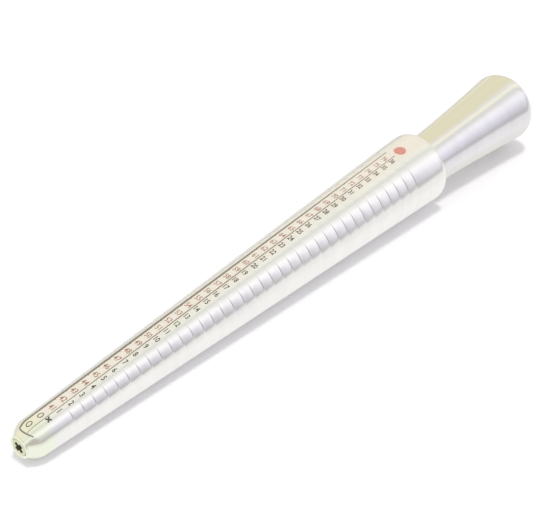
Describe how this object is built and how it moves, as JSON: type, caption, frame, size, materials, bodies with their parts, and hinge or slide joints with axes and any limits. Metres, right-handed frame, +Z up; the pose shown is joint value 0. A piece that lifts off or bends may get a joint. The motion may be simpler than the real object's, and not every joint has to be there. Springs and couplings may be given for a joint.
{
  "type": "ring mandrel",
  "caption": "Tapered aluminium ring mandrel with a graduated gauge body, a flared handle and a cross-recessed tip screw, lying on its side.",
  "frame": {"origin": "centre of the bounding box's foot, on the surface that the taper lies on", "axes": "+X along the mandrel from the nose towards the handle, +Z up out of the surface, +Y to the left of the way from nose to handle; the mandrel's own axis rises by 2.1 degrees towards the handle"},
  "size_m": [0.2356, 0.025, 0.0268],
  "materials": {
    "satin_aluminium": "satin drawn aluminium, lightly polished along its length",
    "turned_aluminium": "fine turned aluminium with faint rings from the lathe",
    "zinc_plated_steel": "bright zinc plate",
    "dark_print": "dark printed scale, ink on metal",
    "red_print": "red printed scale, ink on metal"
  },
  "bodies": {
    "root": {"gauge_body": "satin_aluminium", "tip_screw": "zinc_plated_steel", "tie_rod": "zinc_plated_steel", "end_plug": "turned_aluminium", "handle": "turned_aluminium", "handle_cap": "turned_aluminium", "plain_washer": "zinc_plated_steel", "spring_washer": "zinc_plated_steel", "tie_nut": "zinc_plated_steel"}
  },
  "joints": []
}
